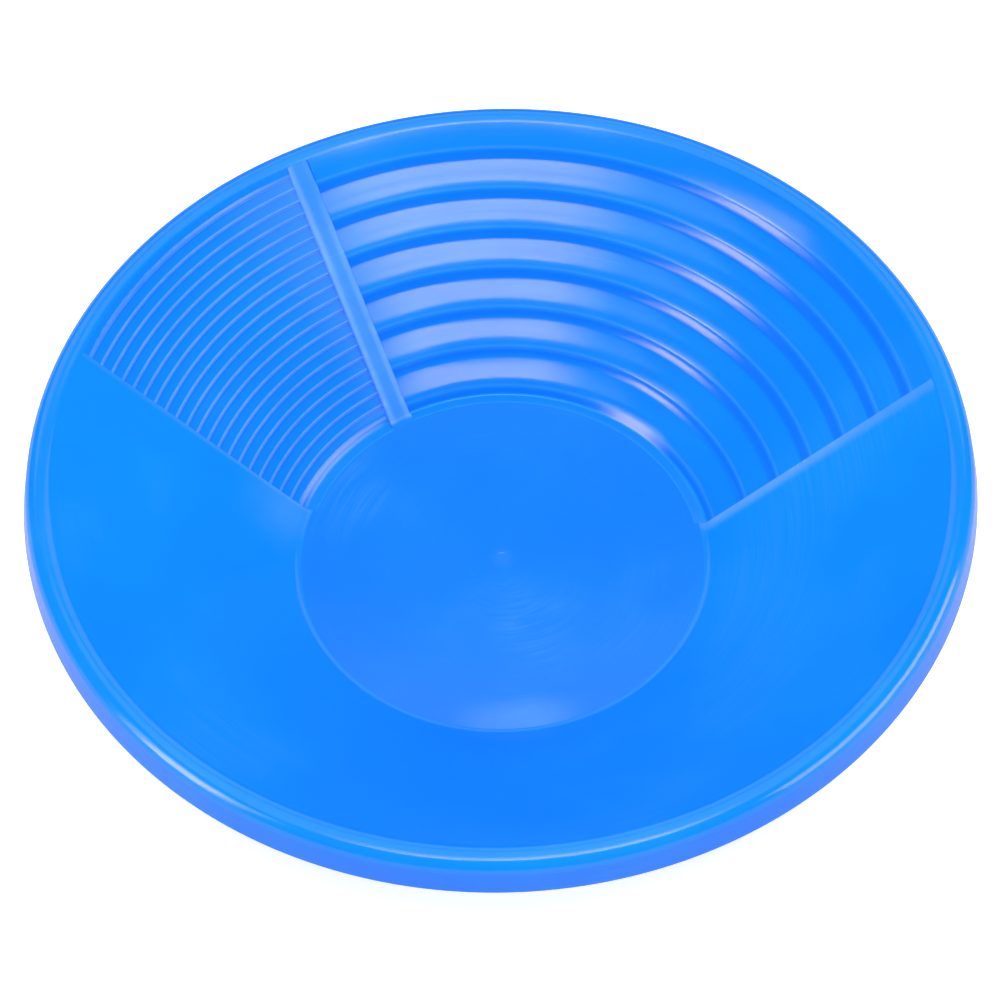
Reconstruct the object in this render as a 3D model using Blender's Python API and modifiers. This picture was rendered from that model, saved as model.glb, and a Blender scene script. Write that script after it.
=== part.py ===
"""Gold pan: a round, one-piece moulded prospecting pan with coarse and fine riffles.

The real pan is a single moulding. Its regions are kept as separate solids here, each split
from its neighbour at one of the pan's own feature lines: floor, the two trap grooves at the
foot of the riffles, plain wall, coarse riffle wall, fine riffle wall, divider rib, rolled rim
and rim skirt. Sizes are in millimetres and are converted when the meshes are made.
+Z is up, the origin is the centre of the underside, and the riffles are on the +Y side.
Angles go counter-clockwise from +X, seen from above.
"""

from math import atan2, cos, degrees, hypot, pi, radians, sin, tan

import bpy

# ---------------------------------------------------------------- driving dimensions
MM = 0.001
HEM_RADIUS = 178.0          # outermost edge of the skirt: a 14 inch pan
FLOOR_RADIUS = 79.7         # where the plain wall's line meets the floor
FLOOR_THICKNESS = 3.0
WALL_THICKNESS = 2.6
WALL_ANGLE = radians(37.65)  # plain wall above the horizontal
FOOT_FILLET = 5.0           # inner fillet between floor and plain wall
GAP = 0.3                   # clearance kept between neighbouring solids
STEPS = 72                  # facets in a full turn

RIM_BEND = 6.0              # outer radius of the rolled rim
RIM_CENTRE_RADIUS = 170.3
HEM_ABOVE_FLOOR = 54.6
HEM_THICKNESS = 2.2

COARSE_FROM = 10.1          # degrees
COARSE_TO = 115.8           # the radial side of the divider rib
FINE_TO = 160.6
RIB_WIDTH = 9.3

COARSE_COUNT = 6
COARSE_PITCH = (12.51, 9.855)        # step from one riffle nose to the next, inward and down
FIRST_NOSE = (158.76, 60.17)         # radius and height above the floor
RISER = (2.73, 3.43)                 # drop below each nose, inward and down
RISER_TOP, RISER_FOOT = 62.0, 42.0   # slope of the hollow riser, degrees
TREAD_SLOPE, NOSE_SLOPE = 30.0, 64.0

FINE_COUNT = 20
FINE_PITCH = 5.1                     # along the wall
FINE_TOP = 106.3                     # first fine riffle, along the wall from the floor
FINE_RISE = 0.6                      # depth of a fine riffle
FINE_LEAN = 0.3                      # half the length of its riser along the wall
FINE_TOE = 1.1                       # the fine wall turns into its trap this far above the last nose

TRAP_INNER_RADIUS = 76.3
TRAP_OUTER_RADIUS = 81.3
TRAP_DEPTH = 1.5
PANEL_THICKNESS = 3.0                # wall behind the line of the riffle noses
PANEL_SHOULDER = 8.0                 # the outside thickens to it over this length below the rim
RIB_BACKING = 1.0                    # the rib stands this much proud on the outside too

BLUE = (0.010, 0.205, 0.90)
SHARP_ANGLE = radians(25)            # edges sharper than this are shaded sharp
CUTTER_SPAN = (-20.0, 120.0)         # heights that every cutter runs through
CUTTER_REACH = 400.0                 # corners of a wedge cutter, well outside the pan


# ---------------------------------------------------------------- profiles (radius, height)
def on_wall(along, depth=0.0):
    """A point at a distance along the plain wall from the floor, and below its surface."""
    return (FLOOR_RADIUS + along * cos(WALL_ANGLE) + depth * sin(WALL_ANGLE),
            FLOOR_THICKNESS + along * sin(WALL_ANGLE) - depth * cos(WALL_ANGLE))


def arc(centre, radius, start, end, count):
    """Points round an arc. Angles are in degrees from +Z, positive towards larger radius."""
    turns = [radians(start + (end - start) * i / count) for i in range(count + 1)]
    return [(centre[0] + radius * sin(t), centre[1] + radius * cos(t)) for t in turns]


def sweep_down(start, end, slope_from, slope_to, count):
    """A curved run inward and down from start to end, whose slope changes evenly."""
    slopes = [radians(slope_from + (slope_to - slope_from) * (i + 0.5) / count) for i in range(count)]
    run = sum(cos(s) for s in slopes)
    drop = sum(sin(s) for s in slopes)
    points = [start]
    for slope in slopes:
        points.append((points[-1][0] - cos(slope) * (start[0] - end[0]) / run,
                       points[-1][1] - sin(slope) * (start[1] - end[1]) / drop))
    return points


def tread(start, end, slope_from, slope_to, count):
    """A straight run at slope_from, then a rounded nose that turns to slope_to and meets end."""
    first, last = radians(slope_from), radians(slope_to)
    across, down = start[0] - end[0], start[1] - end[1]
    arc_across, arc_down = sin(last) - sin(first), cos(first) - cos(last)
    radius = (down * cos(first) - across * sin(first)) / (arc_down * cos(first) - arc_across * sin(first))
    length = (across - radius * arc_across) / cos(first)
    points = [start]
    knee = (start[0] - length * cos(first), start[1] - length * sin(first))
    for i in range(count + 1):
        slope = first + (last - first) * i / count
        points.append((knee[0] - radius * (sin(slope) - sin(first)),
                       knee[1] - radius * (cos(first) - cos(slope))))
    return points


WALL_TOP = (RIM_CENTRE_RADIUS - FLOOR_RADIUS) / cos(WALL_ANGLE) - RIM_BEND * tan(WALL_ANGLE)
RIM_CENTRE = (RIM_CENTRE_RADIUS,
              FLOOR_THICKNESS + (RIM_CENTRE_RADIUS - FLOOR_RADIUS) * tan(WALL_ANGLE)
              - RIM_BEND / cos(WALL_ANGLE))
HEM = (HEM_RADIUS, FLOOR_THICKNESS + HEM_ABOVE_FLOOR)
FILLET_SETBACK = FOOT_FILLET * tan(WALL_ANGLE / 2)
SHELF_RADIUS = FLOOR_RADIUS - FILLET_SETBACK    # where the floor ends and the fillet begins
NOSES = [(FIRST_NOSE[0] - i * COARSE_PITCH[0], FLOOR_THICKNESS + FIRST_NOSE[1] - i * COARSE_PITCH[1])
         for i in range(COARSE_COUNT + 1)]


def below_wall(point):
    """How far a point lies along the plain wall, and how deep below its surface."""
    out, up = point[0] - FLOOR_RADIUS, point[1] - FLOOR_THICKNESS
    return (out * cos(WALL_ANGLE) + up * sin(WALL_ANGLE),
            out * sin(WALL_ANGLE) - up * cos(WALL_ANGLE))


def outside(depth_top, depth_foot):
    """The outer side of a wall, from the rim down to the underside."""
    high, low = below_wall(NOSES[0])[0], below_wall(NOSES[-1])[0]
    knee, foot = on_wall(high, depth_top), on_wall(low, depth_foot)
    slope = (knee[1] - foot[1]) / (knee[0] - foot[0])
    return [on_wall(WALL_TOP - GAP / 2, WALL_THICKNESS), on_wall(WALL_TOP - PANEL_SHOULDER, depth_top),
            knee, (foot[0] - foot[1] / slope, 0.0)]


def plain_profile():
    """The plain wall with its foot fillet."""
    fillet = arc((SHELF_RADIUS, FLOOR_THICKNESS + FOOT_FILLET), FOOT_FILLET,
                 180.0, 180.0 - degrees(WALL_ANGLE), 4)
    foot = [(SHELF_RADIUS + GAP / 2, 0.0), (SHELF_RADIUS + GAP / 2, FLOOR_THICKNESS)]
    return outside(WALL_THICKNESS, WALL_THICKNESS) + foot + fillet[1:] + [on_wall(WALL_TOP - GAP / 2)]


def rib_profile():
    """The divider rib: it keeps the plain wall's height all the way down to the floor."""
    foot = [(SHELF_RADIUS + GAP / 2, 0.0), (SHELF_RADIUS + GAP / 2, FLOOR_THICKNESS), on_wall(0.0)]
    return (outside(below_wall(NOSES[0])[1] + PANEL_THICKNESS + RIB_BACKING,
                    below_wall(NOSES[-1])[1] + PANEL_THICKNESS + RIB_BACKING)
            + foot + [on_wall(WALL_TOP - GAP / 2)])


def coarse_inner():
    """The coarse riffles from the rim down to the trap groove."""
    points = tread(on_wall(WALL_TOP - GAP / 2), NOSES[0], degrees(WALL_ANGLE), NOSE_SLOPE, 3)
    for nose, following in zip(NOSES, NOSES[1:]):
        corner = (nose[0] - RISER[0], nose[1] - RISER[1])
        points += sweep_down(nose, corner, RISER_TOP, RISER_FOOT, 2)[1:]
        points += tread(corner, following, TREAD_SLOPE, NOSE_SLOPE, 3)[1:]
    return points + [(TRAP_OUTER_RADIUS + GAP / 2, FLOOR_THICKNESS - TRAP_DEPTH)]


def fine_inner():
    """The fine riffles: straight treads between short steep risers."""
    high, deep_high = below_wall(NOSES[0])
    low, deep_low = below_wall(NOSES[-1])
    points = [on_wall(WALL_TOP - GAP / 2)]
    for i in range(FINE_COUNT):
        along = FINE_TOP - i * FINE_PITCH
        depth = deep_low + (deep_high - deep_low) * (along - low) / (high - low)
        points.append(on_wall(along + FINE_LEAN, depth))
        points.append(on_wall(along - FINE_LEAN, depth + FINE_RISE))
    points.append(on_wall(low + FINE_TOE, deep_low))
    return points + [(TRAP_OUTER_RADIUS + GAP / 2, FLOOR_THICKNESS - TRAP_DEPTH)]


def riffle_profile(inner):
    """A riffle wall: the given inner side, and an outer side that follows its nose line."""
    return (outside(below_wall(NOSES[0])[1] + PANEL_THICKNESS, below_wall(NOSES[-1])[1] + PANEL_THICKNESS)
            + [(TRAP_OUTER_RADIUS + GAP / 2, 0.0)] + inner[::-1])


def trap_profile():
    """The groove at the foot of the riffles: a ramp that falls away from the floor."""
    inner, outer = TRAP_INNER_RADIUS + GAP / 2, TRAP_OUTER_RADIUS - GAP / 2
    return [(inner, FLOOR_THICKNESS), (outer, FLOOR_THICKNESS - TRAP_DEPTH), (outer, 0.0), (inner, 0.0)]


def skirt_tangent():
    """The angle round the rim's bend where the straight skirt leaves it."""
    out, down = HEM[0] - RIM_CENTRE[0], RIM_CENTRE[1] - HEM[1]
    reach = hypot(out, down)
    return degrees(atan2(out, -down)) - degrees(atan2((reach ** 2 - RIM_BEND ** 2) ** 0.5, RIM_BEND))


def roll_profile():
    """The rolled rim, from the top of the wall over the crest to the skirt."""
    trim = degrees(GAP / 2 / RIM_BEND)
    first, last = -degrees(WALL_ANGLE) + trim, skirt_tangent() - trim
    outer = arc(RIM_CENTRE, RIM_BEND, first, last, 9)
    inner = arc(RIM_CENTRE, RIM_BEND - WALL_THICKNESS, first, last, 5)
    return outer + inner[::-1]


def skirt_profile():
    """The straight skirt that hangs from the rim, a little thinner at its hem."""
    angle = radians(skirt_tangent())
    top = (RIM_CENTRE[0] + RIM_BEND * sin(angle), RIM_CENTRE[1] + RIM_BEND * cos(angle))
    length = hypot(HEM[0] - top[0], HEM[1] - top[1])
    along = ((HEM[0] - top[0]) / length, (HEM[1] - top[1]) / length)
    inward = (-sin(angle), -cos(angle))

    def at(distance, depth):
        return (top[0] + along[0] * distance + inward[0] * depth,
                top[1] + along[1] * distance + inward[1] * depth)

    edge = HEM_THICKNESS / 4
    return [at(GAP / 2, 0.0), at(length, 0.0), at(length + edge, edge),
            at(length + edge, HEM_THICKNESS - edge), at(length, HEM_THICKNESS),
            at(GAP / 2, WALL_THICKNESS)]


# ---------------------------------------------------------------- Blender helpers
def new_collection(name, hidden=False):
    collection = bpy.data.collections.new(name)
    bpy.context.scene.collection.children.link(collection)
    collection.hide_render = hidden
    return collection


def mesh_object(name, points, edges, faces, collection):
    mesh = bpy.data.meshes.new(name)
    mesh.from_pydata([tuple(c * MM for c in p) for p in points], edges, faces)
    made = bpy.data.objects.new(name, mesh)
    collection.objects.link(made)
    if collection is CUTTERS:
        made.hide_render = True
        made.display_type = "WIRE"
    return made


def turned(name, profile, collection, closed=True):
    """A solid of revolution. The profile runs down its outer side."""
    count = len(profile)
    edges = [(i, (i + 1) % count) for i in range(count if closed else count - 1)]
    made = mesh_object(name, [(r, 0.0, z) for r, z in profile], edges, [], collection)
    screw = made.modifiers.new("turn", "SCREW")
    screw.axis = "Z"
    screw.angle = 2 * pi
    screw.steps = screw.render_steps = STEPS
    screw.use_merge_vertices = True
    screw.merge_threshold = 0.00001
    return made


def prism(name, outline):
    """A cutter: a flat outline, counter-clockwise, raised through the pan's whole height."""
    count = len(outline)
    points = [(x, y, z) for z in CUTTER_SPAN for x, y in outline]
    faces = [tuple(range(count - 1, -1, -1)), tuple(range(count, 2 * count))]
    faces += [(i, (i + 1) % count, count + (i + 1) % count, count + i) for i in range(count)]
    return mesh_object(name, points, [], faces, CUTTERS)


def wedge(name, start, end, inset):
    """A cutter over the sector between two angles, its sides moved inward by inset."""
    middle = (start + end) / 2
    shift = inset / sin(radians(end - start) / 2)
    apex = (shift * cos(radians(middle)), shift * sin(radians(middle)))
    corners = [(apex[0] + CUTTER_REACH * cos(radians(a)), apex[1] + CUTTER_REACH * sin(radians(a)))
               for a in (start, middle, end)]
    return prism(name, [apex] + corners)


def rib_slab(name, grow):
    """A cutter the width of the rib. One side lies on the radius at COARSE_TO."""
    angle = radians(COARSE_TO)
    out, side = (cos(angle), sin(angle)), (-sin(angle), cos(angle))
    near, far = FLOOR_RADIUS / 2, HEM_RADIUS * 1.2
    corners = [(near, -grow), (far, -grow), (far, RIB_WIDTH + grow), (near, RIB_WIDTH + grow)]
    return prism(name, [(out[0] * a + side[0] * b, out[1] * a + side[1] * b) for a, b in corners])


def trap_notch(name, region):
    """A cutter that makes room for a trap groove in the floor's edge."""
    inner, outer = TRAP_INNER_RADIUS - GAP / 2, TRAP_OUTER_RADIUS + GAP
    low, high = CUTTER_SPAN
    notch = turned(name, [(inner, high), (outer, high), (outer, low), (inner, low)], CUTTERS)
    cut(notch, region, "INTERSECT")
    return notch


def cut(target, cutter, operation):
    boolean = target.modifiers.new(operation.lower(), "BOOLEAN")
    boolean.operation = operation
    boolean.object = cutter
    boolean.solver = "EXACT"


def finish(piece, tint, roughness):
    """Keep the evaluated mesh, shade it smooth and give it the moulded blue plastic."""
    depsgraph = bpy.context.evaluated_depsgraph_get()
    mesh = bpy.data.meshes.new_from_object(piece.evaluated_get(depsgraph))
    piece.modifiers.clear()
    piece.data = mesh
    mesh.shade_smooth()
    mesh.set_sharp_from_angle(angle=SHARP_ANGLE)
    material = bpy.data.materials.new(piece.name + "_plastic")
    material.use_nodes = True
    colour = tuple(channel * tint for channel in BLUE) + (1.0,)
    shader = material.node_tree.nodes["Principled BSDF"]
    shader.inputs["Base Color"].default_value = colour
    shader.inputs["Roughness"].default_value = roughness
    shader.inputs["Metallic"].default_value = 0.0
    material.diffuse_color = colour
    mesh.materials.clear()
    mesh.materials.append(material)


# ---------------------------------------------------------------- the model
for leftover in list(bpy.data.objects):
    bpy.data.objects.remove(leftover, do_unlink=True)

PAN = new_collection("gold_pan")
CUTTERS = new_collection("cutters", hidden=True)

riffle_region = wedge("riffle_region", COARSE_FROM, FINE_TO, -GAP / 2)
coarse_region = wedge("coarse_region", COARSE_FROM, COARSE_TO, GAP / 2)
coarse_clearance = wedge("coarse_clearance", COARSE_FROM, COARSE_TO, -GAP / 2)
fine_region = wedge("fine_region", COARSE_TO, FINE_TO, GAP / 2)
fine_clearance = wedge("fine_clearance", COARSE_TO, FINE_TO, -GAP / 2)
rib_region = rib_slab("rib_region", -GAP / 2)
rib_clearance = rib_slab("rib_clearance", GAP / 2)

# The floor is a disc whose edge steps in where the trap grooves lie.
floor = turned("floor", [(0.0, FLOOR_THICKNESS), (SHELF_RADIUS - GAP / 2, FLOOR_THICKNESS),
                         (SHELF_RADIUS - GAP / 2, 0.0), (0.0, 0.0)], PAN, closed=False)
coarse_notch = trap_notch("coarse_notch", coarse_clearance)
fine_notch = trap_notch("fine_notch", fine_clearance)
cut(fine_notch, rib_region, "DIFFERENCE")
cut(floor, coarse_notch, "DIFFERENCE")
cut(floor, fine_notch, "DIFFERENCE")

coarse_trap = turned("coarse_trap_groove", trap_profile(), PAN)
cut(coarse_trap, coarse_region, "INTERSECT")

fine_trap = turned("fine_trap_groove", trap_profile(), PAN)
cut(fine_trap, fine_region, "INTERSECT")
cut(fine_trap, rib_clearance, "DIFFERENCE")

plain_wall = turned("plain_wall", plain_profile(), PAN)
cut(plain_wall, riffle_region, "DIFFERENCE")

coarse_wall = turned("coarse_riffle_wall", riffle_profile(coarse_inner()), PAN)
cut(coarse_wall, coarse_region, "INTERSECT")

fine_wall = turned("fine_riffle_wall", riffle_profile(fine_inner()), PAN)
cut(fine_wall, fine_region, "INTERSECT")
cut(fine_wall, rib_clearance, "DIFFERENCE")

divider_rib = turned("divider_rib", rib_profile(), PAN)
cut(divider_rib, rib_region, "INTERSECT")

rolled_rim = turned("rolled_rim", roll_profile(), PAN)
rim_skirt = turned("rim_skirt", skirt_profile(), PAN)

for part, brightness, sheen in ((floor, 1.0, 0.30), (coarse_trap, 0.8, 0.32), (fine_trap, 0.8, 0.32),
                                (plain_wall, 0.95, 0.30), (coarse_wall, 1.1, 0.26),
                                (fine_wall, 0.85, 0.32), (divider_rib, 1.1, 0.28),
                                (rolled_rim, 1.05, 0.24), (rim_skirt, 0.9, 0.28)):
    finish(part, brightness, sheen)
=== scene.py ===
# %% [markdown]
# # A gold pan of blue moulded plastic
# The real pan is one injection moulding. A floor, a smooth sloping wall, a stretch of coarse
# riffles, a stretch of fine riffles, the rib between them and a rolled rim with a short skirt
# all leave the mould together. Nearly all of it is round, so most pieces below are turned: half
# of a cross-section is drawn once and spun about the pan's axis. Lengths are in millimetres
# until a point is placed. Angles run counter-clockwise from +X, seen from above.

# %% Load the fixed frame
from math import atan2, ceil, cos, degrees, hypot, pi, radians, sin, tan

import bmesh
import bpy
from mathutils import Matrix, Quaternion, Vector


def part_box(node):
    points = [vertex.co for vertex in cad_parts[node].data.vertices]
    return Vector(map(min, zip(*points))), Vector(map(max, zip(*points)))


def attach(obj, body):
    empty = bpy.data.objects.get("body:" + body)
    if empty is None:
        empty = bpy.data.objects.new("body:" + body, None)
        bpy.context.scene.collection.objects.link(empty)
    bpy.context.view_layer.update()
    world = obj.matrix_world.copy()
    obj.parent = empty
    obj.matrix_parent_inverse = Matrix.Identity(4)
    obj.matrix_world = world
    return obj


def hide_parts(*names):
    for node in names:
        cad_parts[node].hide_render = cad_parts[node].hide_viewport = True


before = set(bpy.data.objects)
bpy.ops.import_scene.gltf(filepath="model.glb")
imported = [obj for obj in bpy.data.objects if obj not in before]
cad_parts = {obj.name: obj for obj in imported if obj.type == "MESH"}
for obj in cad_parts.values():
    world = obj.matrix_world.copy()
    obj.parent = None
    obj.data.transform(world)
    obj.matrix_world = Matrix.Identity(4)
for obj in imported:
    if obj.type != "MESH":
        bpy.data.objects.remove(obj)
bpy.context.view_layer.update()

# %% [markdown]
# A few sizes drive the whole pan. Those that the frame can tell are read from it: how thick the
# floor is, and where the hem of the skirt ends. The wall's slope, the foot fillet and the bend of
# the rim are the maker's choices, so they get names.

# %% Driving sizes
MM = 0.001
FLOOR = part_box("floor")[1].z / MM
HEM = (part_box("rim_skirt")[1].x / MM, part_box("rim_skirt")[0].z / MM)
FLOOR_RADIUS = 79.7
SLOPE = radians(37.65)
THICKNESS = 2.6
FOOT_FILLET = 5.0
RIM_BEND = 6.0
RIM_CENTRE = (170.3, FLOOR + (170.3 - FLOOR_RADIUS) * tan(SLOPE) - RIM_BEND / cos(SLOPE))
WALL_LENGTH = (RIM_CENTRE[0] - FLOOR_RADIUS) / cos(SLOPE) - RIM_BEND * tan(SLOPE)
print("floor", round(FLOOR, 2), "hem", [round(v, 2) for v in HEM], "wall", round(WALL_LENGTH, 2))

# %% [markdown]
# Four pieces share the turn of the wall, and they meet at fixed angles. The rib's right side lies
# on a radius and its left side is parallel to it, so the fine riffles end on a slanted line. A
# point on the wall is easiest to give as a distance up the slope and a depth below its surface.

# %% Where the pieces meet
COARSE_FROM, COARSE_TO, FINE_TO = 10.1, 115.8, 160.6
RIB_WIDTH = 9.3
TRAP_INNER, TRAP_OUTER, TRAP_DEPTH = 76.3, 81.3, 1.5
SHELF = FLOOR_RADIUS - FOOT_FILLET * tan(SLOPE / 2)


def on_wall(along, depth=0.0):
    """A point at a distance up the wall from the floor, and at a depth below its surface."""
    return (FLOOR_RADIUS + along * cos(SLOPE) + depth * sin(SLOPE),
            FLOOR + along * sin(SLOPE) - depth * cos(SLOPE))


def below_wall(point):
    """The reverse: how far up the wall a point lies, and how deep below the surface."""
    out, up = point[0] - FLOOR_RADIUS, point[1] - FLOOR
    return out * cos(SLOPE) + up * sin(SLOPE), out * sin(SLOPE) - up * cos(SLOPE)


print("wall meets rim at", [round(v, 2) for v in on_wall(WALL_LENGTH)])

# %% [markdown]
# A moulding has no knife edges. A cross-section is given here as a chain of corners, each with
# the radius that rounds it, and `softened` swaps every corner for an arc that leaves both of its
# sides smoothly. A corner with radius 0 stays a plain point, which also lets a curve that was
# worked out elsewhere pass through unchanged.

# %% Rounded corners for a cross-section
ARC_STEP = radians(5)


def softened(corners):
    """A closed chain of points through corners (radius, height, rounding)."""
    chain = []
    for before, corner, after in zip(corners[-1:] + corners[:-1], corners, corners[1:] + corners[:1]):
        here, rounding = Vector(corner[:2]), corner[2]
        back = (Vector(before[:2]) - here).normalized()
        ahead = (Vector(after[:2]) - here).normalized()
        turn = pi - back.angle(ahead)
        if rounding == 0:
            chain.append(tuple(here))
            continue
        centre = here + (back + ahead).normalized() * rounding / cos(turn / 2)
        first = here + back * rounding * tan(turn / 2) - centre
        last = here + ahead * rounding * tan(turn / 2) - centre
        count = max(2, ceil(turn / ARC_STEP))
        chain += [tuple(centre + first.slerp(last, i / count) * rounding) for i in range(count + 1)]
    return chain


print("a square corner becomes", len(softened([(0, 0, 1), (9, 0, 0), (9, 9, 0)])), "points")

# %% [markdown]
# A lathe job in Blender starts from one vertex. A tiny plane is merged to its centre, moved to
# the first point, and extruded from point to point until the outline is closed. The spin tool
# then sweeps that outline about the axis. Drawing it with extrusions keeps the points in order
# and leaves nothing else in the mesh.

# %% Draw an outline and spin it
TURN_STEP = 1.0
MERGE = 0.002 * MM


def placed(point, angle):
    """A point of a cross-section, in metres, on the side of the pan that faces an angle."""
    radius, height = point
    return Vector((radius * cos(radians(angle)), radius * sin(radians(angle)), height)) * MM


def outline(name, chain, angle, closed=True):
    """A new object, left in edit mode, that holds a cross-section drawn at an angle."""
    bpy.ops.object.select_all(action="DESELECT")
    bpy.ops.mesh.primitive_plane_add(size=MM, location=(0, 0, 0))
    piece = bpy.context.object
    piece.name = piece.data.name = name
    bpy.ops.object.mode_set(mode="EDIT")
    bpy.ops.mesh.select_mode(type="VERT")
    bpy.ops.mesh.select_all(action="SELECT")
    bpy.ops.mesh.merge(type="CENTER")
    path = [placed(point, angle) for point in chain + (chain[:1] if closed else [])]
    bpy.ops.transform.translate(value=path[0])
    for here, there in zip(path, path[1:]):
        bpy.ops.mesh.extrude_vertices_move(TRANSFORM_OT_translate={"value": there - here})
    bpy.ops.mesh.select_all(action="SELECT")
    bpy.ops.mesh.remove_doubles(threshold=MERGE)
    return piece


def spin(angle, step=TURN_STEP):
    """Sweep the selected outline about the pan's axis, and leave its far end selected."""
    bpy.ops.mesh.spin(steps=ceil(angle / step), angle=radians(angle), center=(0, 0, 0), axis=(0, 0, -1))


# %% [markdown]
# After the spin, doubles are merged, open ends are capped, and the normals are turned outwards,
# in that order. Smooth shading by angle then keeps the cut ends crisp and the turned surfaces
# round. Every piece is finished in the same way, so it is one function. The floor is flat right up
# to its edges, so it asks for a smaller angle.

# %% Finish a turned piece
SMOOTH_ANGLE = radians(35)
FLAT_ANGLE = radians(5)


def finished(piece, smooth_angle=SMOOTH_ANGLE):
    """Close a piece that is in edit mode, turn its faces outwards and shade it."""
    bpy.ops.mesh.select_all(action="SELECT")
    bpy.ops.mesh.remove_doubles(threshold=MERGE)
    bpy.ops.mesh.fill_holes(sides=0)
    bpy.ops.mesh.select_all(action="SELECT")
    bpy.ops.mesh.normals_make_consistent(inside=False)
    bpy.ops.object.mode_set(mode="OBJECT")
    bpy.ops.object.shade_smooth_by_angle(angle=smooth_angle)
    print(piece.name, len(piece.data.polygons), "faces", [round(v / MM, 1) for v in piece.dimensions])
    return piece


# %% [markdown]
# ## The floor
# The floor is a flat disc with the faint round witness mark of the moulding gate at its centre.
# Under the riffles its edge steps in to make room for the trap groove. Two outlines of different
# length are spun, one for each stretch, and they share the vertices of the inner disc.

# %% Model the floor
GATE_RADIUS, GATE_DEPTH = 2.4, 0.12
GATE_SIDE = 0.25


def floor_chain(edge_radii):
    """From the axis out along the top, down the edge, and back to the axis underneath."""
    top = [(0.0, FLOOR - GATE_DEPTH), (GATE_RADIUS, FLOOR - GATE_DEPTH), (GATE_RADIUS + GATE_SIDE, FLOOR)]
    rings = list(edge_radii)
    return top + [(r, FLOOR) for r in rings] + [(r, 0.0) for r in reversed(rings)] + [(0.0, 0.0)]


floor_piece = outline("floor_disc", floor_chain([TRAP_INNER]), COARSE_FROM, closed=False)
spin(FINE_TO - COARSE_FROM)
bpy.ops.object.mode_set(mode="OBJECT")
outline("outer_floor", floor_chain([TRAP_INNER, SHELF]), FINE_TO, closed=False)
spin(360 - FINE_TO + COARSE_FROM)
bpy.ops.object.mode_set(mode="OBJECT")
floor_piece.select_set(True)
bpy.context.view_layer.objects.active = floor_piece
bpy.ops.object.join()
bpy.ops.object.mode_set(mode="EDIT")
finished(floor_piece, smooth_angle=FLAT_ANGLE)

# %% [markdown]
# ## The trap grooves
# At the foot of the riffles the floor dips by a millimetre and a half, so that fine gold stays
# there. Each groove is a ramp that falls outward to a tight hollow. The hollow's far side belongs
# to this piece too, so the joint with the riffles lies on a straight stretch.

# %% Model the trap grooves
TOE_SLOPE = radians(46)
TRAP_HOLLOW = 0.7
TRAP_CREST = 1.2
TRAP_SEAM = 82.0
TRAP_LEVEL = 0.6
seam_height = FLOOR - TRAP_DEPTH + (TRAP_SEAM - TRAP_OUTER) * tan(TOE_SLOPE)
trap_chain = softened([(TRAP_INNER, FLOOR, 0), (TRAP_INNER + TRAP_LEVEL, FLOOR, TRAP_CREST),
                       (TRAP_OUTER, FLOOR - TRAP_DEPTH, TRAP_HOLLOW), (TRAP_SEAM, seam_height, 0),
                       (TRAP_SEAM, 0.0, 0), (TRAP_INNER, 0.0, 0)])
coarse_trap = outline("coarse_trap", trap_chain, COARSE_FROM)
spin(COARSE_TO - COARSE_FROM)
finished(coarse_trap)

# %% [markdown]
# The fine trap groove ends at the rib, whose left side is not on a radius. It is spun a little too
# far and then cut off with the bisect tool, which also fills the cut. The same cut ends the fine
# riffles and shapes both sides of the rib.

# %% Cut along a side of the rib
RIB_OUT = Vector((cos(radians(COARSE_TO)), sin(radians(COARSE_TO)), 0))
RIB_SIDE = Vector((-RIB_OUT.y, RIB_OUT.x, 0))


def cut_beside_rib(offset, keep_left):
    """Bisect all that is selected along the rib's length, at an offset from its right side."""
    bpy.ops.mesh.select_all(action="SELECT")
    bpy.ops.mesh.bisect(plane_co=RIB_SIDE * offset * MM, plane_no=RIB_SIDE, use_fill=True,
                        clear_inner=keep_left, clear_outer=not keep_left)


fine_trap = outline("fine_trap", trap_chain, COARSE_TO)
spin(FINE_TO - COARSE_TO)
cut_beside_rib(RIB_WIDTH, keep_left=True)
finished(fine_trap)

# %% [markdown]
# ## The plain wall
# Its inner side rises from the floor through a soft fillet. Where it meets the riffles its end is
# rounded off, like a shoulder, and the recess drops away behind it. The shoulder grows wider
# towards the floor. Bevels keep one width, so the vertices near the end are lowered in code by a
# parabola that fits the width at each height.

# %% Model the plain wall
FOOT_OUTSIDE = 3.0
PANEL, PANEL_SHOULDER, PANEL_ROUND = 3.0, 8.0, 4.0
FIRST_NOSE, PITCH, COARSE_COUNT = (158.76, FLOOR + 60.17), (12.51, 9.855), 6
NOSES = [(FIRST_NOSE[0] - i * PITCH[0], FIRST_NOSE[1] - i * PITCH[1]) for i in range(COARSE_COUNT + 1)]
SHOULDER_STRETCH, SHOULDER_STEP = 4.0, 0.125


def outer_side(depth_high, depth_low):
    """The outside of a wall, from the rim down to the underside, with its foot rounded."""
    high, low = below_wall(NOSES[0])[0], below_wall(NOSES[-1])[0]
    knee, foot = on_wall(high, depth_high), on_wall(low, depth_low)
    slope = (knee[1] - foot[1]) / (knee[0] - foot[0])
    return [(*on_wall(WALL_LENGTH, THICKNESS), 0),
            (*on_wall(WALL_LENGTH - PANEL_SHOULDER, depth_high), PANEL_ROUND),
            (*knee, 0), (foot[0] - foot[1] / slope, 0.0, FOOT_OUTSIDE)]


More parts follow.
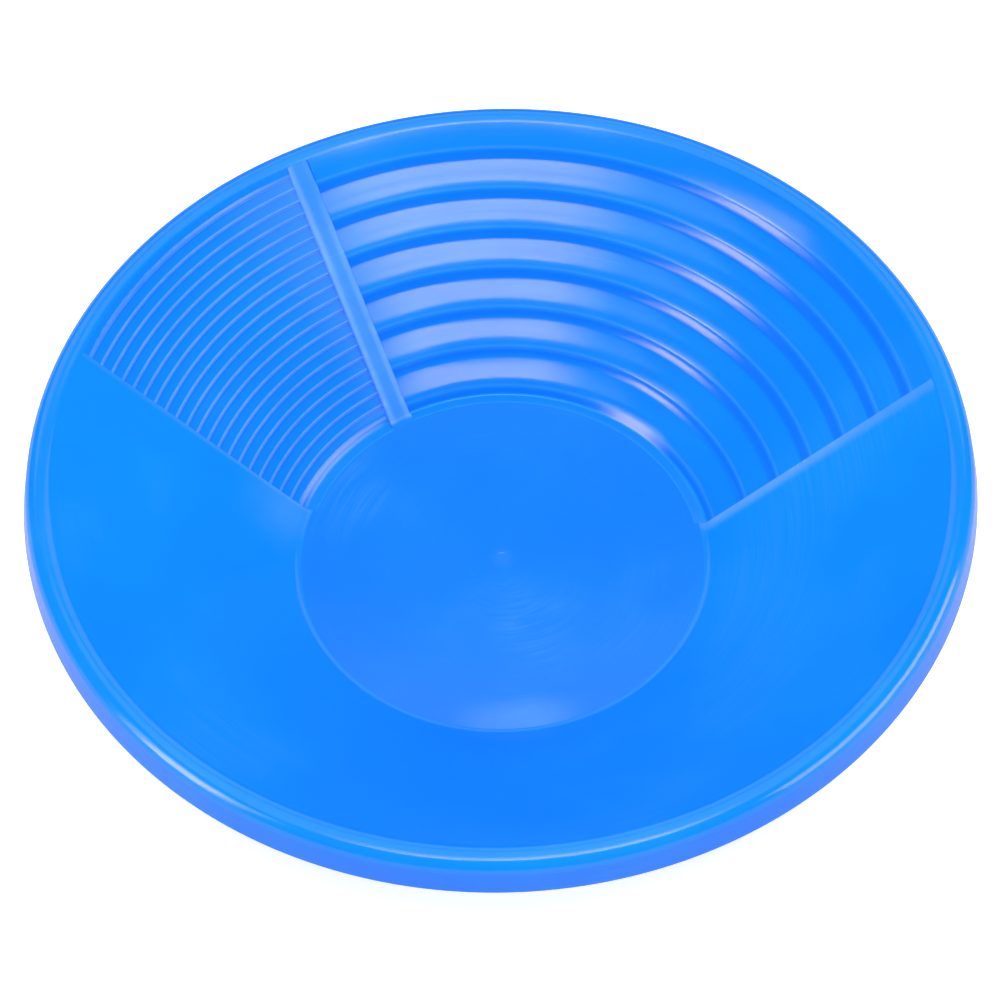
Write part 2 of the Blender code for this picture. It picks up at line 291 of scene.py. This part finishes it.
plain_chain = softened(outer_side(THICKNESS, THICKNESS)
                       + [(SHELF, 0.0, 0), (SHELF, FLOOR, 0), (FLOOR_RADIUS, FLOOR, FOOT_FILLET),
                          (*on_wall(WALL_LENGTH), 0)])
plain_wall = outline("plain_wall_skin", plain_chain, FINE_TO)
spin(SHOULDER_STRETCH, step=SHOULDER_STEP)
spin(360 - FINE_TO + COARSE_FROM - 2 * SHOULDER_STRETCH)
spin(SHOULDER_STRETCH, step=SHOULDER_STEP)
finished(plain_wall)

# %% [markdown]
# The shoulder is a parabola: it starts level with the wall, and it is deepest at the very end. It
# fades out under the rim, where the recess is shallow, and at the floor.

# %% Round the plain wall's ends
RECESS_TOP, RECESS_FOOT = 166.0, 80.7
LOWERED_FROM, FADE_OVER_TOP, FADE_AT_TOP, FADE_AT_FOOT = 0.5, 0.6, 5.0, 3.0


def smooth_share(value, start, end):
    """0 before start, 1 after end, and a smooth rise between them."""
    share = min(max((value - start) / (end - start), 0.0), 1.0)
    return share * share * (3 - 2 * share)


def lower_end(piece, end_angle, widths, drops):
    """Lower the inner side near an end. Widths and drops are for the recess's top and its foot."""
    for vertex in piece.data.vertices:
        x, y, height = vertex.co / MM
        radius = hypot(x, y)
        if below_wall((radius, height))[1] > THICKNESS / 2 or radius < SHELF + LOWERED_FROM:
            continue
        share = min(max((RECESS_TOP - radius) / (RECESS_TOP - RECESS_FOOT), 0.0), 1.0)
        width = widths[0] + (widths[1] - widths[0]) * share
        drop = drops[0] + (drops[1] - drops[0]) * share
        drop *= (smooth_share(RECESS_TOP + FADE_OVER_TOP - radius, 0.0, FADE_AT_TOP)
                 * smooth_share(radius, SHELF, SHELF + FADE_AT_FOOT))
        bearing = degrees(atan2(y, x))
        away = abs((bearing - end_angle + 180) % 360 - 180)
        near = max(0.0, 1 - radius * radians(away) / width)
        square_to_wall = placed((0, cos(SLOPE)), 0) - placed((sin(SLOPE), 0), bearing)
        vertex.co -= square_to_wall * drop * near ** 2
    piece.data.update()


lower_end(plain_wall, COARSE_FROM, widths=(1.4, 3.8), drops=(0.65, 1.5))
lower_end(plain_wall, FINE_TO, widths=(1.0, 1.6), drops=(0.5, 1.0))

# %% [markdown]
# ## The coarse riffles
# Six saw teeth step down the wall. Going inward and down, a tread slopes gently, turns over a
# rounded nose, and drops down a hollow riser to the next tread. Each tooth is the same curve moved
# along, so it is made from two small functions: `tread` for the straight run with its nose, and
# `riser` for the hollow drop.

# %% Curves of a riffle
RISER_DROP = (2.73, 3.43)
RISER_TOP, RISER_FOOT = 66.0, 40.0
TREAD_SLOPE, NOSE_SLOPE, LIP_SLOPE = 30.0, 42.0, 45.0


def tread(start, end, slope_from, slope_to, count=14):
    """A straight run at slope_from, then a rounded nose that turns to slope_to and meets end."""
    first, last = radians(slope_from), radians(slope_to)
    across, down = start[0] - end[0], start[1] - end[1]
    arc_across, arc_down = sin(last) - sin(first), cos(first) - cos(last)
    radius = (down * cos(first) - across * sin(first)) / (arc_down * cos(first) - arc_across * sin(first))
    length = (across - radius * arc_across) / cos(first)
    knee = (start[0] - length * cos(first), start[1] - length * sin(first))
    slopes = [first + (last - first) * i / count for i in range(count + 1)]
    return [(knee[0] - radius * (sin(s) - sin(first)), knee[1] - radius * (cos(first) - cos(s)))
            for s in slopes]


def riser(start, end, slope_from, slope_to, count=10):
    """A hollow run inward and down from start to end, whose slope changes evenly."""
    slopes = [radians(slope_from + (slope_to - slope_from) * (i + 0.5) / count) for i in range(count)]
    across = (start[0] - end[0]) / sum(cos(s) for s in slopes)
    down = (start[1] - end[1]) / sum(sin(s) for s in slopes)
    points = [start]
    for slope in slopes:
        points.append((points[-1][0] - cos(slope) * across, points[-1][1] - sin(slope) * down))
    return points[1:]


# %% [markdown]
# The section runs from the rim down the inside to the trap groove, and comes back up the outside,
# which is a slightly raised panel that keeps the plastic thick enough behind the deep corners.

# %% Model the coarse riffle wall
coarse_inside = tread(on_wall(WALL_LENGTH), NOSES[0], degrees(SLOPE), LIP_SLOPE)
for nose, following in zip(NOSES, NOSES[1:]):
    corner = (nose[0] - RISER_DROP[0], nose[1] - RISER_DROP[1])
    coarse_inside += riser(nose, corner, RISER_TOP, RISER_FOOT)
    last_slope = degrees(TOE_SLOPE) if following is NOSES[-1] else NOSE_SLOPE
    coarse_inside += tread(corner, following, TREAD_SLOPE, last_slope)
panel = outer_side(below_wall(NOSES[0])[1] + PANEL, below_wall(NOSES[-1])[1] + PANEL)
trap_foot = [(TRAP_SEAM, seam_height, 0), (TRAP_SEAM, 0.0, 0)]
coarse_chain = softened([(*on_wall(WALL_LENGTH), 0)] + [(*point, 0) for point in coarse_inside]
                        + trap_foot + panel[::-1])
coarse_wall = outline("coarse_riffles", coarse_chain, COARSE_FROM)
spin(COARSE_TO - COARSE_FROM)
finished(coarse_wall)

# %% [markdown]
# ## The fine riffles
# Twenty shallow steps share the same line of noses. Each one is a straight tread, a nose that is
# rounded by 0.6 mm, and a nearly upright drop into a tiny hollow. Above the first of them the wall
# keeps its slope as far as a small lip.

# %% Model the fine riffle wall
FINE_COUNT, FINE_FIRST, FINE_STEP = 20, 163.9, 4.04
FINE_DROP = (0.08, 0.74)
FINE_NOSE, FINE_HOLLOW = 0.6, 0.1
FINE_LIP = 164.6
TOE_LENGTH, TOE_ROUND = 2.3, 2.0
nose_slope = PITCH[1] / PITCH[0]
fine_inside = [(*on_wall(WALL_LENGTH), 0),
               (*on_wall((FINE_LIP - FLOOR_RADIUS) / cos(SLOPE)), FINE_NOSE)]
for i in range(FINE_COUNT):
    radius = FINE_FIRST - i * FINE_STEP
    height = NOSES[0][1] - (NOSES[0][0] - radius) * nose_slope
    fine_inside.append((radius, height, FINE_NOSE))
    fine_inside.append((radius - FINE_DROP[0], height - FINE_DROP[1], FINE_HOLLOW))
toe_radius = TRAP_SEAM + TOE_LENGTH
fine_inside.append((toe_radius, seam_height + (toe_radius - TRAP_SEAM) * tan(TOE_SLOPE), TOE_ROUND))
fine_chain = softened(fine_inside + trap_foot + panel[::-1])
fine_wall = outline("fine_riffles", fine_chain, COARSE_TO)
spin(FINE_TO - COARSE_TO)
cut_beside_rib(RIB_WIDTH, keep_left=True)
finished(fine_wall)

# %% [markdown]
# ## The divider rib
# The rib keeps the plain wall's height, so it stands proud of the riffles on both sides. A short
# stretch of wall is spun, cut along two parallel planes, and its long upper edges are bevelled.

# %% Model the rib
RIB_EDGE, RIB_FOOT = 1.0, 2.5
RIB_PROUD = 1.0
RIB_LEAD, RIB_TURN = 1.0, 9.0
ON_PLANE, ON_SURFACE = 0.01, 0.05
rib_side = outer_side(below_wall(NOSES[0])[1] + PANEL + RIB_PROUD,
                      below_wall(NOSES[-1])[1] + PANEL + RIB_PROUD)
rib_chain = softened(rib_side + [(TRAP_INNER, 0.0, 0), (TRAP_INNER, FLOOR, 0),
                                 (FLOOR_RADIUS, FLOOR, RIB_FOOT), (*on_wall(WALL_LENGTH), 0)])
rib = outline("rib_bar", rib_chain, COARSE_TO - RIB_LEAD)
spin(RIB_TURN)
cut_beside_rib(0.0, keep_left=True)
cut_beside_rib(RIB_WIDTH, keep_left=False)
bpy.ops.mesh.select_mode(type="EDGE")
bpy.ops.mesh.select_all(action="DESELECT")
rib_mesh = bmesh.from_edit_mesh(rib.data)
for edge in rib_mesh.edges:
    ends = [vertex.co / MM for vertex in edge.verts]
    depths = [below_wall((hypot(co.x, co.y), co.z))[1] for co in ends]
    sides = [co.dot(RIB_SIDE) for co in ends]
    off_plane = min(abs(sides[0]), abs(sides[0] - RIB_WIDTH))
    level = abs(sides[0] - sides[1]) < ON_PLANE and off_plane < ON_PLANE
    edge.select_set(level and max(abs(depth) for depth in depths) < ON_SURFACE)
bmesh.update_edit_mesh(rib.data)
bpy.ops.mesh.bevel(offset=RIB_EDGE * MM, segments=6, profile=0.5)
bpy.ops.mesh.select_mode(type="VERT")
finished(rib)

# %% [markdown]
# ## The rolled rim and its skirt
# The wall bends over in an even arc and comes down again as a short skirt with a rounded hem. A
# short straight lead at each end of the bend makes its shading run on from the wall and into the
# skirt. The bend stops where the straight skirt, which is aimed just above the hem, is tangent to it.

# %% Model the rolled rim
HEM_THICKNESS = 2.2
HEM_ROUND = 1.0
HEM_AIM = 0.55
LEAD_IN = 0.4
BEND_STEPS, INNER_BEND_STEPS = 44, 24
out, down = HEM[0] - RIM_CENTRE[0], RIM_CENTRE[1] - HEM[1] - HEM_AIM
reach = hypot(out, down)
skirt_turn = atan2(out, -down) - atan2((reach ** 2 - RIM_BEND ** 2) ** 0.5, RIM_BEND)


def round_rim(radius, first, last, count):
    """Points round the rim's bend. Angles are from straight up, positive outward."""
    turns = [first + (last - first) * i / count for i in range(count + 1)]
    return [(RIM_CENTRE[0] + radius * sin(t), RIM_CENTRE[1] + radius * cos(t)) for t in turns]


def along_skirt(distance, depth):
    """A point at a distance down the skirt from the bend, and at a depth below its outside."""
    top = round_rim(RIM_BEND - depth, skirt_turn, skirt_turn, 1)[0]
    return top[0] + distance * cos(skirt_turn), top[1] - distance * sin(skirt_turn)


bend = round_rim(RIM_BEND, -SLOPE, skirt_turn, BEND_STEPS)
inner_bend = round_rim(RIM_BEND - THICKNESS, -SLOPE, skirt_turn, INNER_BEND_STEPS)
rim_chain = ([on_wall(WALL_LENGTH - LEAD_IN)] + bend
             + [along_skirt(LEAD_IN, 0.0), along_skirt(LEAD_IN, THICKNESS)]
             + inner_bend[::-1] + [on_wall(WALL_LENGTH - LEAD_IN, THICKNESS)])
rolled_rim = outline("rim_bend", rim_chain, 0.0)
spin(360)
finished(rolled_rim)

# %% Model the skirt
skirt_length = (RIM_CENTRE[1] + RIM_BEND * cos(skirt_turn) - HEM[1]) / sin(skirt_turn)
skirt_chain = softened([(*along_skirt(LEAD_IN, 0.0), 0), (*along_skirt(skirt_length, 0.0), HEM_ROUND),
                        (*along_skirt(skirt_length, HEM_THICKNESS), HEM_ROUND),
                        (*along_skirt(LEAD_IN, THICKNESS), 0)])
skirt = outline("skirt_band", skirt_chain, 0.0)
spin(360)
finished(skirt)

# %% [markdown]
# ## The plastic
# Shader maths reads best as arithmetic. `Value` wraps an output of a node and turns +, - and * into
# Math nodes. `Shader` makes any other node from its type, its settings and its inputs.

# %% A small language for shader nodes
class Value:
    """A node's output, which can be used in arithmetic with numbers and other values."""

    def __init__(self, shader, socket):
        self.shader, self.socket = shader, socket

    def __add__(self, other):
        return self.shader.math("ADD", self, other)

    __radd__ = __add__

    def __sub__(self, other):
        return self.shader.math("SUBTRACT", self, other)

    def __rsub__(self, other):
        return self.shader.math("SUBTRACT", other, self)

    def __mul__(self, other):
        return self.shader.math("MULTIPLY", self, other)

    __rmul__ = __mul__

    def __truediv__(self, other):
        return self.shader.math("DIVIDE", self, other)


class Shader:
    """The node tree of one material."""

    def __init__(self, name):
        self.material = bpy.data.materials.new(name)
        self.material.use_nodes = True
        self.tree = self.material.node_tree
        self.tree.nodes.clear()

    def node(self, kind, settings, inputs, output=0):
        """Make a node. Settings come first, because some of them change its sockets."""
        made = self.tree.nodes.new(kind)
        for name, setting in settings.items():
            setattr(made, name, setting)
        for name, value in inputs.items():
            if isinstance(value, Value):
                self.tree.links.new(value.socket, made.inputs[name])
            else:
                made.inputs[name].default_value = value
        return Value(self, made.outputs[output])

    def math(self, operation, *values):
        return self.node("ShaderNodeMath", {"operation": operation}, dict(enumerate(values)))

    def vector(self, operation, *values, output="Vector"):
        return self.node("ShaderNodeVectorMath", {"operation": operation}, dict(enumerate(values)), output)

    def noise(self, place, scale, detail=2.0, roughness=0.5):
        return self.node("ShaderNodeTexNoise", {}, {"Vector": place, "Scale": scale, "Detail": detail,
                                                    "Roughness": roughness}, "Fac")

    def between(self, value, low, high):
        """0 where value is under low, 1 where it is over high, with a smooth rise."""
        return self.node("ShaderNodeMapRange", {"interpolation_type": "SMOOTHSTEP"},
                         {"Value": value, "From Min": low, "From Max": high}, "Result")

    def mix(self, share, first, second):
        """Mix two colours."""
        return self.node("ShaderNodeMix", {"data_type": "RGBA"}, {0: share, 6: first, 7: second}, 2)

    def finish(self, surface):
        output = self.tree.nodes.new("ShaderNodeOutputMaterial")
        self.tree.links.new(surface.socket, output.inputs["Surface"])


print("shader helpers ready")

# %% [markdown]
# Moulded polypropylene is glossy but never a mirror. It has a fine orange-peel skin, streaks that
# follow the way the melt flowed round from the gate, and short scuffs where gravel was swirled. The
# streaks need a direction: a point's bearing from the axis is stretched much less than its radius,
# so that the noise smears along the turn. Bearing is kept as a unit vector, which has no seam. The
# reflections are tinted towards lavender, which the real plastic's would not be.

# %% The blue plastic
BODY_BLUE = (0.0045, 0.186, 0.95)
DEEP_BLUE = (0.0040, 0.173, 0.92)
SCUFF_BLUE = (0.040, 0.250, 0.96, 1.0)
# Pale wear, painted highlights and a painted reflection share this colour.
PALE_WEAR_AND_SHEEN_BLUE = (0.115, 0.320, 0.97, 1.0)
# Painted shade for the drops below the riffle noses.
PAINTED_SHADE_BLUE = (0.0035, 0.115, 0.86, 1.0)
REFLECTION_TINT = (1.0, 0.78, 1.0, 1.0)
FLOW_ALONG, FLOW_ACROSS = (2.5, 2.5, 0.0), 1000.0
CLOUD_SCALE, PALE_BLOTCH_SCALE, PEEL_SCALE, WAVE_SCALE = 14.0, 160.0, 700.0, 60.0
PEEL_RELIEF, WAVE_RELIEF, STREAK_RELIEF = 0.005, 0.05, 0.008
PLASTIC_IOR, SPECULAR_LEVEL = 1.49, 0.45


def painted_light_blue(blue, share):
    """The same blue with its green scaled by a share. It paints light and shade, so a piece reads paler or
    deeper.
    """
    return (blue[0], blue[1] * share, blue[2], 1.0)


def moulded_plastic(name, painted_light_tone, gloss_roughness, scuffs, grain, wear_and_sheen=None, hollow_shade=None):
    """Blue moulded plastic, made paler or deeper per piece as painted light and shade. Scuffs and grain say
    how much shows.
    One mask paints pale wear, painted highlights and a painted reflection, and the other paints shade into
    the drops below the noses. Both masks keep to the inside."""
    shader = Shader(name)
    place = shader.node("ShaderNodeTexCoord", {}, {}, "Object")
    flat = shader.vector("MULTIPLY", place, (1, 1, 0))
    radius = shader.vector("LENGTH", flat, output="Value")
    bearing = shader.vector("NORMALIZE", flat)
    height = shader.node("ShaderNodeSeparateXYZ", {}, {"Vector": place}, "Z")
    across = shader.node("ShaderNodeCombineXYZ", {}, {"Z": (radius + height) * FLOW_ACROSS})
    flow = shader.vector("ADD", shader.vector("MULTIPLY", bearing, FLOW_ALONG), across)

    cloud = shader.noise(place, CLOUD_SCALE, detail=3.0)
    streak = shader.noise(flow, 1.0, detail=3.0)
    dash = shader.noise(flow, 0.7, detail=1.0)
    brushed = shader.between(cloud, 0.52, 0.72) * shader.between(streak, 0.35, 0.70)
    worn = (brushed * 0.5 + shader.between(dash, 0.72, 0.80) * grain) * scuffs

    # Painted light and shade: each piece's blue is lightened or darkened by its own number.
    colour = shader.mix(shader.between(cloud, 0.35, 0.7),
                        painted_light_blue(DEEP_BLUE, painted_light_tone), painted_light_blue(BODY_BLUE, painted_light_tone))
    colour = shader.mix(worn, colour, SCUFF_BLUE)
    roughness = gloss_roughness + (streak - 0.5) * 0.05 + (cloud - 0.5) * 0.06 + worn * 0.08
    depth = (radius / MM - FLOOR_RADIUS) * sin(SLOPE) - (height / MM - FLOOR) * cos(SLOPE)
    inside = (1 - shader.between(depth, *INSIDE_DEPTHS)) * shader.between(height / MM, *INSIDE_HEIGHTS)
    # Painted shade: the drops below the noses are mixed to a deeper blue.
    if hollow_shade:
        colour = shader.mix(hollow_shade(shader, radius / MM) * inside, colour, PAINTED_SHADE_BLUE)
    # Pale marks: wear on the rib and the wall's foot, painted highlights on the shoulders, a painted
    # reflection at the floor's front edge, and a pale line along the noses.
    if wear_and_sheen:
        pale_blotches = shader.noise(place, PALE_BLOTCH_SCALE, detail=3.0)
        mask = wear_and_sheen(shader, place, radius / MM) * inside * (0.05 + cloud * 1.1 + pale_blotches * 0.8)
        colour = shader.mix(mask, colour, PALE_WEAR_AND_SHEEN_BLUE)
        roughness = roughness + mask * 0.12

    peel = shader.noise(place, PEEL_SCALE, detail=2.0)
    wave = shader.noise(place, WAVE_SCALE, detail=2.0)
    relief = peel * PEEL_RELIEF + wave * WAVE_RELIEF + streak * grain * STREAK_RELIEF
    normal = shader.node("ShaderNodeBump", {}, {"Strength": 1.0, "Distance": MM, "Height": relief},
                         "Normal")
    surface = shader.node("ShaderNodeBsdfPrincipled", {},
                          {"Base Color": colour, "Roughness": roughness, "Normal": normal,
                           "IOR": PLASTIC_IOR, "Specular IOR Level": SPECULAR_LEVEL,
                           "Specular Tint": REFLECTION_TINT}, "BSDF")
    shader.finish(surface)
    print(name, len(shader.tree.nodes), "nodes")
    return shader.material


# %% [markdown]
# Pale marks and painted shade keep to the inside. Wear shows where gravel and hands rub: along the
# rib, and low on the plain wall beside the fine riffles. A faint spot lies round the gate mark, and a
# pale line runs along every riffle nose. The two shoulders where the plain wall meets the recess get a
# painted highlight, and a patch at the front edge of the floor gets a painted reflection. Each mask is a
# distance turned into a soft band. The noses are evenly spaced, so a ping-pong of the radius gives
# the distance to the nearest one, and a modulo gives how far inward of a nose a point lies. That
# second distance paints shade into the drops below the noses as a deeper blue.

# %% Masks of wear, painted highlights, painted reflection and painted shade
nose_depth = below_wall(NOSES[0])[1]
INSIDE_DEPTHS = (nose_depth + 1.4, nose_depth + 2.0)
INSIDE_HEIGHTS = (0.4, 1.2)
FOOT_FADE = (76.0, 84.0)


def beyond(shader, place, angle):
    """How far a point lies out along an angle, and how far it lies beside that line, in millimetres."""
    out = (cos(radians(angle)) / MM, sin(radians(angle)) / MM, 0.0)
    side = (-out[1], out[0], 0.0)
    return (shader.vector("DOT_PRODUCT", place, out, output="Value"),
            shader.vector("DOT_PRODUCT", place, side, output="Value"))


def rib_wear(shader, place, radius):
    """Pale along the rib's two long edges, less in the middle, and least under the rim."""
    outward, aside = beyond(shader, place, COARSE_TO)
    edge = shader.between(shader.math("ABSOLUTE", aside - RIB_WIDTH / 2), 1.2, 3.6)
    fade = 1 - shader.between(outward, 138.0, 160.0) * 0.6
    return (0.20 + edge * 0.45) * fade * shader.between(outward, 77.8, 79.5)


def shoulder_highlight_and_wear(shader, place, radius):
    """Painted highlights in a band beside each end of the plain wall, wide on the right and narrow on the
    left, and wear low on the wall beside the left end.
    """
    right_out, right_side = beyond(shader, place, COARSE_FROM)
    left_out, left_side = beyond(shader, place, FINE_TO)
    right = (1 - shader.between(0 - right_side, 0.8, 6.5)) * shader.between(right_out, *FOOT_FADE)
    left = (1 - shader.between(left_side, 0.6, 2.6)) * shader.between(left_out, *FOOT_FADE)
    near_left = (1 - shader.between(left_side, 4.0, 30.0)) * shader.between(left_out, *FOOT_FADE)
    foot = near_left * (1 - shader.between(radius, 86.0, 108.0)) * 0.22
    low = 1.1 - shader.between(radius, 90.0, 165.0) * 0.6
    # The right and left bands are painted highlights on the rounded shoulders; the foot term is wear.
    return right * low * 0.75 + left * low * 0.3 + foot


def coarse_nose_line(shader, place, radius):
    """A faint pale line along each coarse nose."""
    away = shader.math("PINGPONG", radius - (NOSES[0][0] + 0.5), PITCH[0] / 2)
    return (1 - shader.between(away, 0.1, 0.7)) * 0.14


def fine_nose_line(shader, place, radius):
    """A pale line along each fine nose."""
    away = shader.math("PINGPONG", radius - (FINE_FIRST + 0.15), FINE_STEP / 2)
    return (1 - shader.between(away, 0.15, 0.65)) * 0.50


def floor_spot_and_painted_reflection(shader, place, radius):
    """A faint spot round the gate mark, and a painted reflection in a patch near the front edge."""
    forward, aside = beyond(shader, place, -87.0)
    spot = (1 - shader.between(radius, 2.0, 6.0)) * 0.08
    across = 1 - shader.between(shader.math("ABSOLUTE", aside), 8.0, 30.0)
    # The patch is a painted reflection along the front edge of the floor.
    patch = shader.between(forward, 62.0, 73.0) * across
    return spot + patch * 0.38


def coarse_hollow_shade(shader, radius):
    """Painted shade on the risers, from each coarse nose inward to the foot of the drop."""
    inward = shader.math("FLOORED_MODULO", NOSES[0][0] - radius, PITCH[0])
    return shader.between(inward, 0.1, 0.8) * (1 - shader.between(inward, 2.5, 3.6)) * 0.55


def fine_hollow_shade(shader, radius):
    """Painted shade in the narrow drop just inside each fine nose."""
    inward = shader.math("FLOORED_MODULO", FINE_FIRST - radius, FINE_STEP)
    return shader.between(inward, 0.05, 0.25) * (1 - shader.between(inward, 0.6, 1.0)) * 0.55


# The number after each name lightens or darkens that piece's blue as painted light and shade. The trap
# grooves, the plain wall and the rim are lightened most, and the floor and the skirt are darkened.
wall_plastic = moulded_plastic("plain_wall_plastic", 1.16, 0.14, scuffs=0.5, grain=0.15,
                               wear_and_sheen=shoulder_highlight_and_wear)
floor_plastic = moulded_plastic("brushed_floor_plastic", 0.97, 0.14, scuffs=0.8, grain=0.15,
                                wear_and_sheen=floor_spot_and_painted_reflection)
riffle_plastic = moulded_plastic("coarse_riffle_plastic", 1.05, 0.15, scuffs=0.3, grain=1.2,
                                 wear_and_sheen=coarse_nose_line, hollow_shade=coarse_hollow_shade)
fine_plastic = moulded_plastic("fine_riffle_plastic", 1.0, 0.15, scuffs=0.3, grain=0.5,
                               wear_and_sheen=fine_nose_line, hollow_shade=fine_hollow_shade)
trap_plastic = moulded_plastic("trap_groove_plastic", 1.25, 0.15, scuffs=0.4, grain=0.5)
rib_plastic = moulded_plastic("rubbed_rib_plastic", 1.05, 0.18, scuffs=0.8, grain=0.5, wear_and_sheen=rib_wear)
rim_plastic = moulded_plastic("rim_plastic", 1.13, 0.14, scuffs=0.4, grain=0.4)
skirt_plastic = moulded_plastic("skirt_plastic", 0.98, 0.15, scuffs=0.4, grain=0.4)

# %% [markdown]
# ## Put the pieces on the frame
# The pan is rigid, so all nine pieces ride on the one body. Each stands for the frame's node of the
# same region, which is hidden, and gets the plastic listed beside it.

# %% Ride on the frame
PIECES = ((floor_piece, "floor", floor_plastic), (coarse_trap, "coarse_trap_groove", trap_plastic),
          (fine_trap, "fine_trap_groove", trap_plastic), (plain_wall, "plain_wall", wall_plastic),
          (coarse_wall, "coarse_riffle_wall", riffle_plastic), (fine_wall, "fine_riffle_wall", fine_plastic),
          (rib, "divider_rib", rib_plastic), (rolled_rim, "rolled_rim", rim_plastic),
          (skirt, "rim_skirt", skirt_plastic))
for piece, node, plastic in PIECES:
    piece.data.materials.clear()
    piece.data.materials.append(plastic)
    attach(piece, "root")
    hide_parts(node)
print(len(PIECES), "pieces ride on the root body")

# %% [markdown]
# ## The studio
# The pan lies on a wide white floor. Five level soft boxes overlap overhead, and five more lean over
# the pan from the left, the right and the back. Apart from them the room is dark, which keeps the
# blue deep: gloss shows whatever it faces. The floor looks white, but it lights the pan as mid grey,
# and it glows more far away, so that its horizon doesn't show.

# %% White floor
PAPER_WHITE, PAPER_GLOW = (0.9, 0.9, 0.9, 1), 0.65
PAPER_BOUNCE = (0.56, 0.56, 0.56, 1)
PAPER_FAR, FAR_FROM, FAR_TO = (1.7, 1.7, 1.7, 1), 0.6, 2.0
bpy.ops.object.select_all(action="DESELECT")
bpy.ops.mesh.primitive_plane_add(size=12, location=(0, 0, -0.05 * MM))
studio_floor = bpy.context.object
studio_floor.name = "studio_floor"
paper = Shader("white_paper")
from_pan = paper.vector("LENGTH", paper.node("ShaderNodeTexCoord", {}, {}, "Object"), output="Value")
paper_glow = paper.mix(paper.between(from_pan, FAR_FROM, FAR_TO), PAPER_WHITE, PAPER_FAR)
seen_paper = paper.node("ShaderNodeBsdfPrincipled", {},
                        {"Base Color": PAPER_WHITE, "Roughness": 1.0, "Specular IOR Level": 0.0,
                         "Emission Color": paper_glow, "Emission Strength": PAPER_GLOW}, "BSDF")
bounce = paper.node("ShaderNodeBsdfDiffuse", {}, {"Color": PAPER_BOUNCE}, "BSDF")
straight = paper.node("ShaderNodeLightPath", {}, {}, "Is Camera Ray")
paper.finish(paper.node("ShaderNodeMixShader", {}, {0: straight, 1: bounce, 2: seen_paper}, "Shader"))
studio_floor.data.materials.append(paper.material)

# %% Soft boxes
STAND_OFF = 3.0


def soft_box(name, place, width, height, radiance):
    """A rectangular light that faces the pan from a place. It isn't seen directly."""
    light = bpy.data.lights.new(name, "AREA")
    light.shape = "RECTANGLE"
    light.size, light.size_y = width, height
    light.energy = radiance * pi * width * height
    lamp = bpy.data.objects.new(name, light)
    bpy.context.scene.collection.objects.link(lamp)
    lamp.location = place
    lamp.rotation_euler = (-Vector(place)).to_track_quat("-Z", "Y").to_euler()
    lamp.visible_camera = False
    return lamp


def overhead(name, across, along, radiance):
    """A level soft box. Its edges are tangents of the angle from straight up."""
    width, height = (across[1] - across[0]) * STAND_OFF, (along[1] - along[0]) * STAND_OFF
    lamp = soft_box(name, (0, 0, 1), width, height, radiance)
    lamp.rotation_euler = (0, 0, 0)
    lamp.location = (sum(across) / 2 * STAND_OFF, sum(along) / 2 * STAND_OFF, STAND_OFF)


def beside(name, bearings, rises, radiance):
    """A soft box that leans over the pan, between two bearings from +X and two angles of rise."""
    bearing, rise = radians(sum(bearings) / 2), radians(sum(rises) / 2)
    place = Vector((cos(bearing) * cos(rise), sin(bearing) * cos(rise), sin(rise))) * STAND_OFF
    width = 2 * STAND_OFF * tan(radians(bearings[1] - bearings[0]) / 2) * cos(rise)
    height = 2 * STAND_OFF * tan(radians(rises[1] - rises[0]) / 2)
    soft_box(name, place, width, height, radiance)


overhead("top_haze", (-0.62, 0.62), (-0.35, 0.60), 0.8)
overhead("top_box", (-0.38, 0.42), (-0.21, 0.36), 2.1)
overhead("top_front_haze", (-0.44, 0.50), (-0.47, -0.21), 2.4)
overhead("top_bright_end", (-0.30, 0.42), (-0.50, -0.21), 12.6)
overhead("top_far_edge", (-0.38, 0.42), (0.56, 0.64), 1.3)
beside("left_box", (189, 219), (5, 42), 2.9)
beside("left_bright_core", (196, 213), (8, 34), 7.8)
beside("right_box", (-38, -10), (5, 30), 5.0)
beside("right_near_side", (-10, 14), (5, 27), 5.6)
beside("back_wall", (45, 135), (24, 50), 0.9)
print("soft boxes placed")

# %% Room and camera
world = bpy.data.worlds.new("dark_room")
bpy.context.scene.world = world
world.use_nodes = True
nodes, links = world.node_tree.nodes, world.node_tree.links
dim = nodes["Background"]
dim.inputs["Color"].default_value = (0.02, 0.02, 0.02, 1)
seen = nodes.new("ShaderNodeBackground")
seen.inputs["Color"].default_value = (1, 1, 1, 1)
path = nodes.new("ShaderNodeLightPath")
choice = nodes.new("ShaderNodeMixShader")
links.new(path.outputs["Is Camera Ray"], choice.inputs["Fac"])
links.new(dim.outputs["Background"], choice.inputs[1])
links.new(seen.outputs["Background"], choice.inputs[2])
links.new(choice.outputs["Shader"], nodes["World Output"].inputs["Surface"])

EYE = Vector((-0.000178, -0.72461, 1.03181 + FLOOR * MM))
LOOKS_AT = Vector((-0.000178, 0.0279, FLOOR * MM))
LENS, ROLL = 117.03, radians(1.89)
camera = bpy.data.cameras.new("camera")
camera.lens, camera.sensor_width = LENS, 36.0
view = bpy.data.objects.new("camera", camera)
bpy.context.scene.collection.objects.link(view)
view.location = EYE
view.rotation_mode = "QUATERNION"
view.rotation_quaternion = (LOOKS_AT - EYE).to_track_quat("-Z", "Y") @ Quaternion((0, 0, 1), -ROLL)
bpy.context.scene.camera = view
bpy.context.scene.view_settings.view_transform = "Standard"
bpy.context.view_layer.update()
print("camera right", [round(v, 4) for v in view.matrix_world.to_3x3().col[0]])
